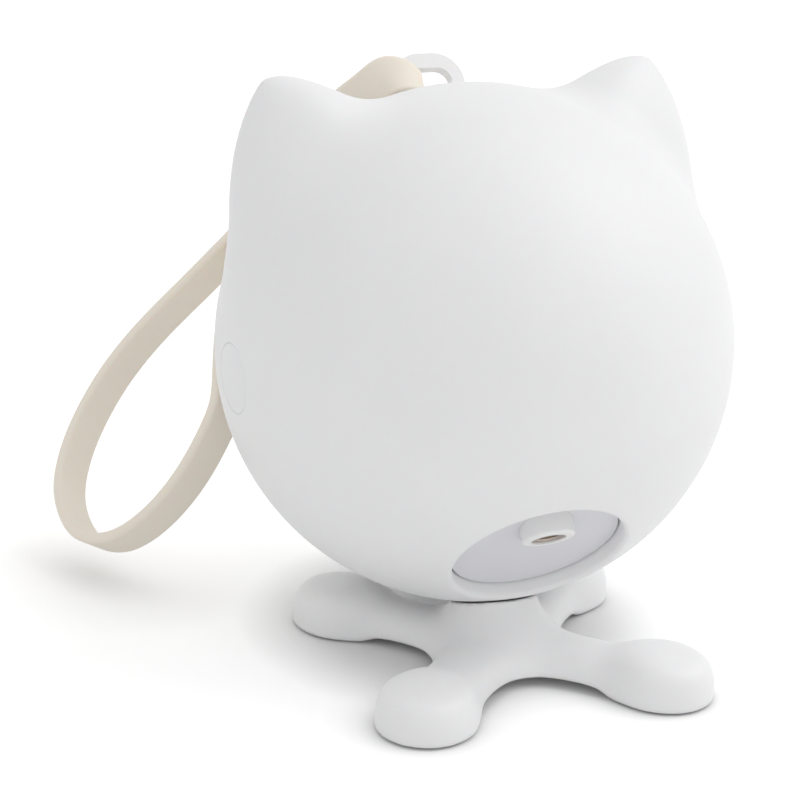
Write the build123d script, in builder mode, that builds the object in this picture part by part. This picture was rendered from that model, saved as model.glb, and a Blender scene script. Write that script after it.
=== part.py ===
from build123d import *
import os
from math import acos, atan2, cos, hypot, pi, radians, sin, sqrt, tan

# Automatic laser toy for cats: a round head with two ears sits in the cup of a four-legged stand.
# A strap hangs from the back of the head, a button sits in its left side, and a grey turntable in a
# round window carries a tilted laser nozzle.
#
# Millimetres. The origin is on the ground under the middle of the stand's cross of legs.
# +Z is up, the window looks to -Y, and the button is on the -X side.

os.makedirs("parts", exist_ok=True)

# ------------------------------------------------------------------ driving dimensions
head_diameter = 100.0
shell_wall = 2.2
head_set_back = 19.0            # head centre behind the middle of the stand
head_height = 58.36             # head centre above the ground
seam_set_back = 12.75           # parting plane of the two shells, behind the head centre
seam_gap = 0.16                 # hairline left between the two shells
lip_depth = 3.0                 # rear shell's locating lip inside the front shell
lip_wall = 1.2
lip_play = 0.1

ear_height = 66.0               # ear tip from the head centre
ear_lean = 39.5                 # ear axis from straight up, towards the side
ear_forward = 11.0              # ear axis leans back by this many degrees
ear_root_width = 21.0           # half the width of the ear low down, across the head
ear_flatness = 0.60             # ear depth, front to back, as a share of its width
ear_blend = 5.0
ear_tip_fillet = 2.0

window_below_level = 40.0       # the window's axis looks this far down
window_radius = 16.4
window_collar_wall = 2.0
window_lip = 0.9
turntable_recess = 3.25         # turntable face below the plane of the window's edge
turntable_gap = 0.4             # dark ring round the turntable
turntable_thickness = 1.8

nozzle_radius = 5.0
nozzle_tail_radius = 4.2
nozzle_offset = 6.8             # nozzle axis from the window's axis, at the turntable's face
nozzle_tilt = 13.5              # nozzle axis leans across the window's axis
nozzle_reach = 2.9              # nozzle in front of the turntable's face
laser_radius = 3.25
laser_length = 12.6
laser_recess = 0.35
aperture_radius = 1.5

drum_radius = 14.6
drum_wall = 1.3
bearing_play = 0.05
face_play = 0.3                 # end play between pieces that turn past each other
flange_thickness = 2.0
flange_radius = 20.4
collar_depth = 6.8              # window collar behind the turntable's face

gear_width = 3.2
ring_teeth = 48
idler_pinion_teeth = 12
ring_module = 0.75
idler_wheel_teeth = 30
motor_pinion_teeth = 12
fine_module = 0.5
fine_gear_width = 2.0
pressure_angle = 20.0
tooth_play = 0.10               # backlash taken from each tooth at the pitch circle
tooth_tip = 0.75                # tooth above the pitch circle, in modules
tooth_root = 1.0                # tooth below the pitch circle, in modules
set_play = 0.02                 # play of a piece that is pressed or glued in place

plate_thickness = 1.8
plate_gap = 0.5
post_radius = 2.6
post_boss_wall = 0.4            # shell boss is this much wider than the post that meets it
mechanism_screw_bite = 4.0
post_circle = 22.5
post_angles = (20.0, 160.0, 200.0, 340.0)
screw_radius = 1.0
screw_head_radius = 2.0
screw_head_height = 1.3
slot_width = 0.5                # cross slot in every screw head; its arms are as long as the head's radius
screw_play = 0.08
screw_end_play = 0.4            # room past the tip of a screw in a blind hole
idler_pin_radius = 1.0
motor_radius = 6.0
motor_length = 16.0
motor_shaft_radius = 0.75
motor_flat = 0.775              # motor can's height over its flats, as a share of its width
motor_boss_radius = 2.4
motor_boss_length = 1.2

button_radius = 6.65
button_below_level = 2.4        # the button looks this far down and forward, in degrees
button_forward = 4.1
button_play = 0.07
button_flange_radius = 7.5
button_flange_thickness = 1.2
button_edge = 0.25
button_collar_radius = 9.4
button_collar_depth = 7.6
button_shoulder_depth = 3.4     # flange stop below the skin's outer face
switch_size = 6.0
switch_height = 1.6
plunger_radius = 1.7
plunger_length = 1.7
switch_board_thickness = 1.2

cell_radius = 7.0
cell_length = 50.0
cell_cap_radius = 2.7
cell_cap_height = 1.2
cell_edge = 0.6
cell_back = 15.0
cell_down = 24.6
cradle_wall = 1.8
contact_thickness = 0.35
contact_width = 8.0
contact_height = 9.0
shelf_thickness = 1.6
shelf_gap = 0.5
board_thickness = 1.6
board_half_width = 20.0
board_front = 8.0
standoff_height = 0.8
board_screw_radius = 0.9
board_screw_head_radius = 1.7
board_screw_head_height = 1.0
usb_width = 8.9
usb_height = 3.2
usb_length = 7.4
usb_play = 0.25

boss_circle = 38.0
boss_angles = (22.0, 158.0, 212.0, 328.0)
boss_radius = 3.0
boss_screw_radius = 1.25
boss_screw_head_radius = 2.4
boss_screw_head_height = 1.6
boss_screw_length = 12.0
access_radius = 3.2
access_wall = 1.4
access_floor = 3.6

strap_width = 8.0
strap_thickness = 2.4
strap_bulge = 0.4               # how strongly the band thickens where it is squeezed
bail_rise = 56.0                # bail above level on the back of the head, in degrees
bail_opening_half = 4.9
bail_opening_height = 6.5
bail_opening_corner = 2.8
bail_leg = 2.6
bail_bar_height = 3.1
bail_bar_width = 2.5
bail_corner = 6.0
bail_sink = 1.6                 # bail's legs reach this far into the skin

leg_reach = 34.3                # middle of a foot from the middle of the stand
foot_radius = 9.15
foot_height = 10.3
waist_width = 11.0
waist_height = 7.9
hub_radius = 12.5
hub_height = 8.4
arch_height = 3.2
arch_inner = 13.5
arch_outer = 25.5
leg_plan_fillet = 7.0
leg_edge_fillet = 3.0

cup_gap = 0.3                   # head's skin clear of the cup
neck_flare = ((-1, 8.0), (2.2, 8.1), (4.6, 9.2), (6.6, 11.6), (8.0, 14.4))  # drop below skin, radius
magnet_radius = 5.6
magnet_thickness = 4.0
magnet_play = 0.05
magnet_end_play = 0.1
magnet_cover = 1.7              # plastic between the cup and the magnet's bore
cap_thickness = 1.8
pad_radius = 5.6
pad_thickness = 1.0
pad_proud = 0.3
pad_play = 0.1
keeper_radius = 9.6
keeper_thickness = 1.2
keeper_set_back = 7.9           # steel keeper's middle behind the cup's axis, in degrees

# ------------------------------------------------------------------ places worked out from them
head_radius = head_diameter / 2
inner_radius = head_radius - shell_wall
head_centre = Vector(0, head_set_back, head_height)
seam_y = head_set_back + seam_set_back


def head_plane(direction, distance, x_direction=(1, 0, 0)):
    """Plane square to a direction from the head's centre, at a distance from that centre."""
    toward = Vector(*direction).normalized()
    return Plane(origin=head_centre + toward * distance, x_dir=x_direction, z_dir=toward)


window_axis = (0, -cos(radians(window_below_level)), -sin(radians(window_below_level)))
window_edge_depth = sqrt(head_radius**2 - window_radius**2)
turntable_face = window_edge_depth - turntable_recess
turntable_back = turntable_face - turntable_thickness
turntable_radius = window_radius - turntable_gap
collar_end = turntable_face - collar_depth
flange_back = collar_end - flange_thickness
gear_front = flange_back - face_play
gear_back = gear_front - gear_width
fine_front = gear_back - face_play
fine_back = fine_front - fine_gear_width
plate_front = fine_back - plate_gap
plate_back = plate_front - plate_thickness


def window_plane(depth):
    """Plane across the window's axis; its local y points up and forward."""
    return head_plane(window_axis, depth)


stand_axis = (0, head_set_back, head_height - hub_height)
cup_axis = tuple(-part for part in stand_axis)


def cup_plane(distance):
    """Plane across the cup's axis, under the head's centre by a distance."""
    return head_plane(cup_axis, distance)


def polar(radius, angle):
    """Point at a radius and an angle in degrees."""
    return (radius * cos(radians(angle)), radius * sin(radians(angle)))


magnet_front = head_radius + cup_gap + magnet_cover + magnet_end_play
magnet_back = magnet_front + magnet_thickness

leg_angles = (45.0, 135.0, 225.0, 315.0)
foot_centres = [polar(leg_reach, angle) for angle in leg_angles]


def gear_outline(teeth, module, turned=0.0):
    """Corner points of an involute spur gear, four to a flank, with the first tooth turned."""
    pitch_radius = teeth * module / 2
    base_radius = pitch_radius * cos(radians(pressure_angle))
    tip_radius = pitch_radius + module * tooth_tip
    root_radius = pitch_radius - module * tooth_root
    half_tooth = pi / (2 * teeth) - tooth_play / (2 * pitch_radius)
    involute_at_pitch = tan(radians(pressure_angle)) - radians(pressure_angle)
    foot_radius_on_flank = max(base_radius, root_radius)
    radii = [foot_radius_on_flank + (tip_radius - foot_radius_on_flank) * step / 3 for step in range(4)]
    flank = []
    for radius in radii:
        roll = acos(base_radius / radius)
        flank.append((radius, half_tooth + involute_at_pitch - (tan(roll) - roll)))
    if root_radius < foot_radius_on_flank:
        flank.insert(0, (root_radius, flank[0][1]))
    points = []
    for tooth in range(teeth):
        middle = 2 * pi * tooth / teeth + radians(turned)
        rising = [(radius, middle - half) for radius, half in flank]
        falling = [(radius, middle + half) for radius, half in reversed(flank)]
        points += [(radius * cos(a), radius * sin(a)) for radius, a in rising + falling]
    return points


# ------------------------------------------------------------------ stand
# The plan of the cross is cut to height by a turned profile, and the neck leans back to the head.
with BuildPart() as stand:
    with BuildSketch(Plane.XY.offset(pad_proud)) as stand_plan:
        Circle(hub_radius)
        with PolarLocations(leg_reach / 2, len(leg_angles), start_angle=leg_angles[0]):
            Rectangle(leg_reach, waist_width)
        with Locations(*foot_centres):
            Circle(foot_radius)
        plan_corners = [v for v in stand_plan.vertices() if hypot(v.X, v.Y) > 1]
        fillet(plan_corners, leg_plan_fillet)
    extrude(amount=foot_height - pad_proud)
    with BuildSketch(Plane.XZ) as height_profile:
        with BuildLine():
            crown = Spline(
                (0, hub_height),
                (hub_radius * 0.8, hub_height - 0.1),
                (leg_reach * 0.55, waist_height),
                (leg_reach * 0.95, foot_height - 0.05),
                (leg_reach + foot_radius + 1, foot_height - 1.6),
                tangents=((1, 0), (1, -0.35)),
            )
            Polyline(crown @ 1, (leg_reach + foot_radius + 1, 0), (0, 0), crown @ 0)
        make_face()
    revolve(axis=Axis.Z, mode=Mode.INTERSECT)
    top_edges = [edge for edge in stand.edges() if edge.center().Z > foot_height / 2]
    top_edges = [edge for edge in top_edges if abs((edge @ 0).Z - (edge @ 1).Z) < foot_height / 3]
    fillet(top_edges, leg_edge_fillet)
    # neck, from the hub up to the head, with a cup that follows the head's skin
    for drop, radius in neck_flare:
        with BuildSketch(cup_plane(head_radius + drop)):
            Circle(radius)
    loft()
    with Locations(head_centre):
        Sphere(head_radius + cup_gap, mode=Mode.SUBTRACT)
    # arch under the legs, a ring-shaped tunnel about the middle
    with BuildSketch(Plane.XZ):
        with BuildLine():
            ThreePointArc(
                (arch_inner - 2, -1), ((arch_inner + arch_outer) / 2, arch_height), (arch_outer + 2, -1)
            )
            Line((arch_outer + 2, -1), (arch_inner - 2, -1))
        make_face()
    revolve(axis=Axis.Z, mode=Mode.SUBTRACT)
    with BuildSketch(cup_plane(magnet_front - magnet_end_play)):
        Circle(magnet_radius + magnet_play)
    extrude(amount=magnet_thickness + 20, mode=Mode.SUBTRACT)
    with BuildSketch(Plane.XY):
        with Locations(*foot_centres):
            Circle(pad_radius + pad_play)
    extrude(amount=pad_thickness, mode=Mode.SUBTRACT)
stand.part.label = "stand"
export_step(stand.part, "parts/stand.step")

with BuildPart() as foot_pads:
    with BuildSketch(Plane.XY):
        with Locations(*foot_centres):
            Circle(pad_radius)
    extrude(amount=pad_thickness)
    chamfer(foot_pads.faces().filter_by(Axis.Z).sort_by(Axis.Z)[:4].edges(), 0.25)
foot_pads.part.label = "foot_pads"
export_step(foot_pads.part, "parts/foot_pads.step")

# The magnet is free to turn in its bore, so it follows the steel keeper in the head.
with BuildPart() as cup_magnet:
    with BuildSketch(cup_plane(magnet_front)):
        Circle(magnet_radius)
    extrude(amount=magnet_thickness)
    chamfer(cup_magnet.edges(), 0.3)
cup_magnet.part.label = "cup_magnet"
export_step(cup_magnet.part, "parts/cup_magnet.step")

with BuildPart() as magnet_cap:
    with BuildSketch(cup_plane(magnet_back + face_play)):
        Circle(magnet_radius + magnet_play / 2)
    extrude(amount=cap_thickness)
magnet_cap.part.label = "magnet_cap"
export_step(magnet_cap.part, "parts/magnet_cap.step")

# ------------------------------------------------------------------ head's form
# A ball with two flattened, round-tipped ears.  The same form, made smaller, hollows it.


def ear_plane(side, height):
    """Plane across an ear at a height from the head's centre, with x running outwards."""
    lean, back = radians(ear_lean), radians(ear_forward)
    toward = (side * sin(lean) * cos(back), sin(back), cos(lean) * cos(back))
    outwards = (side * cos(lean), 0, -sin(lean))
    plane = head_plane(toward, height, outwards)
    drift = 0.17 * (ear_height - height)
    return Plane(origin=plane.origin + plane.x_dir * drift, x_dir=plane.x_dir, z_dir=plane.z_dir)


def ear_sections(side, inset):
    """Ellipses that an ear is lofted through: each is a height and a share of the root's width."""
    sketches = []
    for below_tip, share in ((26, 1.18), (18, 0.88), (13, 0.71), (8, 0.50), (4.4, 0.33), (1.6, 0.16)):
        half_width = ear_root_width * share - inset
        if half_width < 1.0:
            continue
        with BuildSketch(ear_plane(side, ear_height - below_tip - inset * 0.4)) as section:
            Ellipse(half_width, half_width * ear_flatness + 0.6)
        sketches.append(section.sketch)
    return sketches


ball_plane = Plane(origin=head_centre, x_dir=(1, 0, -1), z_dir=(0, -1, 0))

with BuildPart(ball_plane) as ball:
    Sphere(head_radius)

with BuildPart(ball_plane) as ball_hollow:
    Sphere(inner_radius)


def on_ball(edge, radius):
    """True for a free-form edge that lies on a ball about the head's centre."""
    distances = [(edge @ place - head_centre).length for place in (0.2, 0.5, 0.8)]
    free_form = edge.geom_type not in (GeomType.CIRCLE, GeomType.LINE)
    return free_form and all(abs(distance - radius) < 0.01 for distance in distances)


with BuildPart() as head_form:
    add(ball.part)
    for side in (-1, 1):
        loft(ear_sections(side, 0))
    fillet([edge for edge in head_form.edges() if on_ball(edge, head_radius)], ear_blend)
    tips = [face for face in head_form.faces() if face.geom_type == GeomType.PLANE]
    fillet([edge for face in tips for edge in face.edges()], ear_tip_fillet)

with BuildPart() as head_hollow:
    add(ball_hollow.part)
    for side in (-1, 1):
        loft(ear_sections(side, shell_wall))

# ------------------------------------------------------------------ front shell
wall_middle = inner_radius + shell_wall / 2
post_points = [polar(post_circle, angle) for angle in post_angles]
boss_points = [polar(boss_circle, 180 - angle) for angle in boss_angles]
button_shelf = head_radius - button_collar_depth
button_shoulder = head_radius - button_shoulder_depth
button_axis = (
    -cos(radians(button_below_level)) * cos(radians(button_forward)),
    -cos(radians(button_below_level)) * sin(radians(button_forward)),
    -sin(radians(button_below_level)),
)


def button_plane(depth):
    """Plane across the button's axis; its normal points out of the head."""
    return head_plane(button_axis, depth, (-button_axis[1], button_axis[0], 0))


def seam_plane(offset=0.0):
    """Upright plane at the parting face, moved back by an offset; its normal points to the rear."""
    return Plane(origin=(0, seam_y + offset, head_height), x_dir=(-1, 0, 0), z_dir=(0, 1, 0))


with BuildPart(ball_plane) as skin_core:
    Sphere(wall_middle)

# What stands inside the front shell: window collar, button collar and screw bosses.
with BuildPart() as front_fittings:
    with BuildSketch(window_plane(collar_end)):
        Circle(window_radius + window_collar_wall)
        for angle, point in zip(post_angles, post_points):
            with Locations(point):
                Circle(post_radius + post_boss_wall)
            with PolarLocations(post_circle - post_radius, 1, start_angle=angle):
                Rectangle(2 * post_radius, 2 * post_radius)
    extrude(amount=head_radius - collar_end)
    with BuildSketch(button_plane(button_shelf)):
        Circle(button_collar_radius)
    extrude(amount=button_collar_depth)
    with BuildSketch(seam_plane(-seam_gap / 2)):
        with Locations(*boss_points):
            Circle(boss_radius)
    extrude(amount=-head_radius)
    add(skin_core.part, mode=Mode.INTERSECT)

with BuildPart() as front_shell:
    add(head_form.part)
    add(head_hollow.part, mode=Mode.SUBTRACT)
    add(front_fittings.part)
    split(bisect_by=seam_plane(-seam_gap / 2), keep=Keep.BOTTOM)
    with BuildSketch(window_plane(collar_end)):
        Circle(window_radius)
    extrude(amount=head_radius, mode=Mode.SUBTRACT)
    with BuildSketch(window_plane(collar_end)):
        with Locations(*post_points):
            Circle(screw_radius + screw_play)
    extrude(amount=mechanism_screw_bite, mode=Mode.SUBTRACT)
    with BuildSketch(button_plane(button_shelf)):
        Circle(button_flange_radius + 2 * button_play)
    extrude(amount=button_shoulder - button_shelf, mode=Mode.SUBTRACT)
    with BuildSketch(button_plane(button_shelf)):
        Circle(button_radius + button_play)
    extrude(amount=head_radius, mode=Mode.SUBTRACT)
    with BuildSketch(seam_plane()):
        with Locations(*boss_points):
            Circle(boss_screw_radius + screw_play)
    extrude(amount=-boss_screw_length, mode=Mode.SUBTRACT)
    rim = [edge for edge in front_shell.edges() if edge.geom_type != GeomType.LINE]
    rim = [edge for edge in rim if abs((edge @ 0.3 - head_centre).length - head_radius) < 0.01]
    rim = [
        edge
        for edge in rim
        if abs((edge @ 0.3 - window_plane(window_edge_depth).origin).length - window_radius) < 0.01
    ]
    fillet(rim, window_lip)
front_shell.part.label = "front_shell"
export_step(front_shell.part, "parts/front_shell.step")

# ------------------------------------------------------------------ rear shell
bail_direction = (0, cos(radians(bail_rise)), sin(radians(bail_rise)))
bail_plane = Plane(
    origin=head_centre + Vector(*bail_direction) * head_radius,
    x_dir=(1, 0, 0),
    z_dir=(0, -bail_direction[2], bail_direction[1]),
)
shelf_top = -cell_down + cell_radius + shelf_gap + shelf_thickness
cheek_inside = cell_length / 2 + contact_thickness + 0.1
board_bottom = shelf_top + standoff_height
board_top = board_bottom + board_thickness
board_reach = sqrt(inner_radius**2 - board_bottom**2) - 0.8
usb_middle = board_top + usb_height / 2
usb_mouth = sqrt(inner_radius**2 - usb_middle**2 - (usb_width / 2) ** 2) - face_play
standoff_points = [(x, y) for x in (-board_half_width + 3, board_half_width - 3) for y in (12, 36)]


def level_plane(height):
    """Level plane at a height above or below the head's centre."""
    return Plane(origin=head_centre + Vector(0, 0, height))


# Locating lip: a ball-shaped band that slides inside the front shell.
with BuildPart(ball_plane) as lip_band:
    Sphere(inner_radius - lip_play)
    split(bisect_by=seam_plane(-lip_depth), keep=Keep.TOP)
    split(bisect_by=seam_plane(lip_depth), keep=Keep.BOTTOM)

with BuildPart(ball_plane) as lip_root:
    Sphere(wall_middle)
    split(bisect_by=seam_plane(seam_gap / 2), keep=Keep.TOP)
    split(bisect_by=seam_plane(lip_depth), keep=Keep.BOTTOM)

with BuildPart(ball_plane) as lip_hollow:
    Sphere(inner_radius - lip_play - lip_wall)

# What stands inside the rear shell: shelf, battery cheeks, standoffs and screw tubes.
with BuildPart() as rear_fittings:
    with BuildSketch(level_plane(shelf_top)):
        with Locations((0, (cell_back - cell_radius + head_radius) / 2)):
            Rectangle(
                2 * (cheek_inside + cradle_wall), head_radius - cell_back + cell_radius
            )
    extrude(amount=-shelf_thickness)
    with BuildSketch(level_plane(shelf_top)):
        with Locations((cheek_inside + cradle_wall / 2, cell_back), (-cheek_inside - cradle_wall / 2, cell_back)):
            Rectangle(cradle_wall, 2 * cell_radius)
    extrude(amount=-(shelf_top + cell_down + cell_radius))
    with BuildSketch(level_plane(shelf_top)):
        with Locations(*standoff_points):
            Circle(2.2)
    extrude(amount=standoff_height)
    with BuildSketch(seam_plane(seam_gap / 2)):
        with Locations(*boss_points):
            Circle(access_radius + access_wall)
    extrude(amount=head_radius)
    add(skin_core.part, mode=Mode.INTERSECT)

with BuildSketch(bail_plane) as bail_gap:
    with Locations((0, bail_opening_height / 2 - bail_sink)):
        Rectangle(2 * bail_opening_half, bail_opening_height + 2 * bail_sink)
    fillet(bail_gap.vertices().group_by(Axis.Y)[-1], bail_opening_corner)

with BuildPart() as rear_shell:
    add(head_form.part)
    add(head_hollow.part, mode=Mode.SUBTRACT)
    split(bisect_by=seam_plane(seam_gap / 2), keep=Keep.TOP)
    add(lip_band.part)
    add(lip_root.part)
    add(lip_hollow.part, mode=Mode.SUBTRACT)
    add(rear_fittings.part)
    # screw holes with deep, wide mouths
    with BuildSketch(seam_plane()):
        with Locations(*boss_points):
            Circle(boss_screw_radius + screw_play)
    extrude(amount=head_radius, mode=Mode.SUBTRACT)
    with BuildSketch(seam_plane(access_floor)):
        with Locations(*boss_points):
            Circle(access_radius)
    extrude(amount=head_radius, mode=Mode.SUBTRACT)
    # holes for the board's screws
    with BuildSketch(level_plane(shelf_top + standoff_height)):
        with Locations(*standoff_points):
            Circle(board_screw_radius + screw_play)
    extrude(amount=-(standoff_height + shelf_thickness), mode=Mode.SUBTRACT)
    # charging slot
    with BuildSketch(head_plane((0, 1, 0), 0)):
        with Locations((0, -usb_middle)):
            RectangleRounded(usb_width + 2 * usb_play, usb_height + 2 * usb_play, usb_height / 2)
    extrude(amount=head_radius, mode=Mode.SUBTRACT)
    # bail that the strap is looped round, an arch that stands out of the skin
    bail_top = bail_opening_height + bail_bar_height
    with BuildSketch(bail_plane) as bail_arch:
        with Locations((0, (bail_top - bail_sink) / 2)):
            Rectangle(2 * (bail_opening_half + bail_leg), bail_top + bail_sink)
        fillet(bail_arch.vertices().group_by(Axis.Y)[-1], bail_corner)
        add(bail_gap.sketch_local, mode=Mode.SUBTRACT)
    extrude(amount=bail_bar_width / 2, both=True)
rear_shell.part.label = "rear_shell"
export_step(rear_shell.part, "parts/rear_shell.step")

# ------------------------------------------------------------------ fasteners of the shells
with BuildPart() as shell_screws:
    with BuildSketch(seam_plane(access_floor)):
        with Locations(*boss_points):
            Circle(boss_screw_head_radius)
    extrude(amount=boss_screw_head_height)
    with BuildSketch(seam_plane(access_floor)):
        with Locations(*boss_points):
            Circle(boss_screw_radius)
    extrude(amount=-(boss_screw_length + access_floor - screw_end_play))
    with BuildSketch(seam_plane(access_floor + boss_screw_head_height)):
        with Locations(*boss_points):
            Rectangle(boss_screw_head_radius, slot_width)
            Rectangle(slot_width, boss_screw_head_radius)
    extrude(amount=-boss_screw_head_height / 2, mode=Mode.SUBTRACT)
shell_screws.part.label = "shell_screws"
export_step(shell_screws.part, "parts/shell_screws.step")

# ------------------------------------------------------------------ steel keeper over the cup
keeper_angle = atan2(head_set_back, head_height - hub_height) - radians(keeper_set_back)
keeper_direction = (0, -sin(keeper_angle), -cos(keeper_angle))

with BuildPart(ball_plane) as keeper_inside:
    Sphere(inner_radius - face_play - keeper_thickness)

with BuildPart() as keeper:
    with BuildSketch(head_plane(keeper_direction, head_radius / 2)):
        Circle(keeper_radius)
    extrude(amount=head_radius / 2)
    with Locations(Location(ball_plane)):
        Sphere(inner_radius - face_play, mode=Mode.INTERSECT)
    add(keeper_inside.part, mode=Mode.SUBTRACT)
keeper.part.label = "keeper"
export_step(keeper.part, "parts/keeper.step")

# ------------------------------------------------------------------ power button and its switch
with BuildPart(ball_plane) as button_face:
    Sphere(head_radius - set_play)

with BuildPart() as power_button:
    with BuildSketch(button_plane(button_shoulder - face_play)):
        Circle(button_radius)
    extrude(amount=head_radius)
    with BuildSketch(button_plane(button_shoulder - face_play)):
        Circle(button_flange_radius)
    extrude(amount=-button_flange_thickness)
    add(button_face.part, mode=Mode.INTERSECT)
    chamfer(power_button.edges().filter_by(GeomType.CIRCLE).sort_by(Axis.X)[0], button_edge)
power_button.part.label = "power_button"
export_step(power_button.part, "parts/power_button.step")

switch_board_back = button_shelf - switch_board_thickness
with BuildPart() as switch_board:
    with BuildSketch(button_plane(switch_board_back)):
        Circle(button_collar_radius)
    extrude(amount=switch_board_thickness)
switch_board.part.label = "switch_board"
export_step(switch_board.part, "parts/switch_board.step")

plunger_top = button_shoulder - face_play - button_flange_thickness
with BuildPart() as tact_switch:
    with BuildSketch(button_plane(button_shelf)):
        RectangleRounded(switch_size, switch_size, 0.5)
    extrude(amount=switch_height)
    with BuildSketch(button_plane(button_shelf + 0.1)):
        Circle(plunger_radius + bearing_play)
    extrude(amount=switch_height, mode=Mode.SUBTRACT)
tact_switch.part.label = "tact_switch"
export_step(tact_switch.part, "parts/tact_switch.step")

with BuildPart() as switch_plunger:
    with BuildSketch(button_plane(plunger_top)):
        Circle(plunger_radius)
    extrude(amount=-plunger_length)
switch_plunger.part.label = "switch_plunger"
export_step(switch_plunger.part, "parts/switch_plunger.step")

# ------------------------------------------------------------------ battery and main board
cell_plane = Plane(
    origin=head_centre + Vector(-cell_length / 2, cell_back, -cell_down), x_dir=(0, 1, 0), z_dir=(1, 0, 0)
)
with BuildPart() as battery_cell:
    with BuildSketch(cell_plane):
        Circle(cell_radius)
    extrude(amount=cell_length - cell_cap_height)
    chamfer(battery_cell.edges().filter_by(GeomType.CIRCLE), cell_edge)
    with BuildSketch(cell_plane.offset(cell_length - cell_cap_height)):
        Circle(cell_cap_radius)
    extrude(amount=cell_cap_height)
battery_cell.part.label = "battery_cell"
export_step(battery_cell.part, "parts/battery_cell.step")

with BuildPart() as cell_contacts:
    for end in (-1, 1):
        face_x = end * (cheek_inside - set_play)
        contact_centre = cell_plane.origin + Vector(cell_length / 2 + face_x, 0, 0)
        with BuildSketch(Plane(origin=contact_centre, x_dir=(0, 1, 0), z_dir=(-end, 0, 0))):
            Rectangle(contact_width, contact_height)
        extrude(amount=contact_thickness)
cell_contacts.part.label = "cell_contacts"
export_step(cell_contacts.part, "parts/cell_contacts.step")

with BuildPart() as main_board:
    with BuildSketch(level_plane(board_bottom)):
        Circle(board_reach)
        with Locations((0, board_front + head_radius / 2)):
            Rectangle(2 * board_half_width, head_radius, mode=Mode.INTERSECT)
        with Locations(*standoff_points):
            Circle(board_screw_radius + screw_play, mode=Mode.SUBTRACT)
    extrude(amount=board_thickness)
main_board.part.label = "main_board"
export_step(main_board.part, "parts/main_board.step")

with BuildPart() as board_chips:
    with BuildSketch(level_plane(board_top)):
        with Locations((-8, 22)):
            Rectangle(7, 7)
        with Locations((9, 27)):
            Rectangle(5, 4)
        with Locations((8, 14), (-10, 32), (0, 30)):
            Rectangle(3, 1.6)
    extrude(amount=1.1)
board_chips.part.label = "board_chips"
export_step(board_chips.part, "parts/board_chips.step")

with BuildPart() as board_screws:
    with BuildSketch(level_plane(board_top)):
        with Locations(*standoff_points):
            Circle(board_screw_head_radius)
    extrude(amount=board_screw_head_height)
    with BuildSketch(level_plane(board_top)):
        with Locations(*standoff_points):
            Circle(board_screw_radius)
    extrude(amount=-(board_thickness + standoff_height + shelf_thickness - screw_end_play / 2))
    with BuildSketch(level_plane(board_top + board_screw_head_height)):
        with Locations(*standoff_points):
            Rectangle(board_screw_head_radius, slot_width)
            Rectangle(slot_width, board_screw_head_radius)
    extrude(amount=-board_screw_head_height / 2, mode=Mode.SUBTRACT)
board_screws.part.label = "board_screws"
export_step(board_screws.part, "parts/board_screws.step")

usb_back_plane = Plane(
    origin=head_centre + Vector(0, usb_mouth - usb_length, usb_middle), x_dir=(-1, 0, 0), z_dir=(0, 1, 0)
)
with BuildPart() as charging_socket:
    with BuildSketch(usb_back_plane):
        RectangleRounded(usb_width, usb_height, usb_height / 2 - 0.05)
    extrude(amount=usb_length)
    with BuildSketch(usb_back_plane.offset(1.2)):
        RectangleRounded(usb_width - 0.6, usb_height - 0.6, usb_height / 2 - 0.35)
    extrude(amount=usb_length, mode=Mode.SUBTRACT)
    with BuildSketch(usb_back_plane.offset(1.0)):
        Rectangle(usb_width - 2.4, 0.7)
    extrude(amount=usb_length - 2.0)
charging_socket.part.label = "charging_socket"
export_step(charging_socket.part, "parts/charging_socket.step")

# ------------------------------------------------------------------ laser turntable
face_plane = window_plane(turntable_face)
tilt = radians(nozzle_tilt)
nozzle_direction = face_plane.z_dir * cos(tilt) - face_plane.y_dir * sin(tilt)
nozzle_foot = face_plane.origin + face_plane.y_dir * nozzle_offset


def nozzle_plane(reach):
    """Plane across the nozzle's axis, in front of the turntable's face by a reach."""
    return Plane(origin=nozzle_foot + nozzle_direction * reach, x_dir=(1, 0, 0), z_dir=nozzle_direction)


nozzle_root = -(turntable_thickness + 1.4)
nozzle_tail = nozzle_root - 3.4

with BuildPart() as turntable:
    with BuildSketch(face_plane):
        Circle(turntable_radius)
    extrude(amount=-turntable_thickness)
    with BuildSketch(window_plane(turntable_back)):
        Circle(drum_radius)
        Circle(drum_radius - drum_wall, mode=Mode.SUBTRACT)
    extrude(amount=-(turntable_back - gear_back))
    with BuildSketch(nozzle_plane(nozzle_root - 2)):
        Circle(nozzle_radius + set_play)
    extrude(amount=turntable_thickness + 8, mode=Mode.SUBTRACT)
turntable.part.label = "turntable"
export_step(turntable.part, "parts/turntable.step")

with BuildPart() as laser_nozzle:
    with BuildSketch(nozzle_plane(nozzle_reach)):
        Circle(nozzle_radius)
    extrude(amount=-(nozzle_reach - nozzle_root))
    nozzle_rims = laser_nozzle.edges().filter_by(GeomType.CIRCLE)
    fillet(nozzle_rims.sort_by_distance(nozzle_plane(head_radius).origin)[0], 0.6)
    with BuildSketch(nozzle_plane(nozzle_root)):
        Circle(nozzle_tail_radius)
    extrude(amount=nozzle_tail - nozzle_root)
    with BuildSketch(nozzle_plane(nozzle_reach)):
        Circle(laser_radius + set_play)
    extrude(amount=-2 * laser_length, mode=Mode.SUBTRACT)
laser_nozzle.part.label = "laser_nozzle"
export_step(laser_nozzle.part, "parts/laser_nozzle.step")

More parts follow.
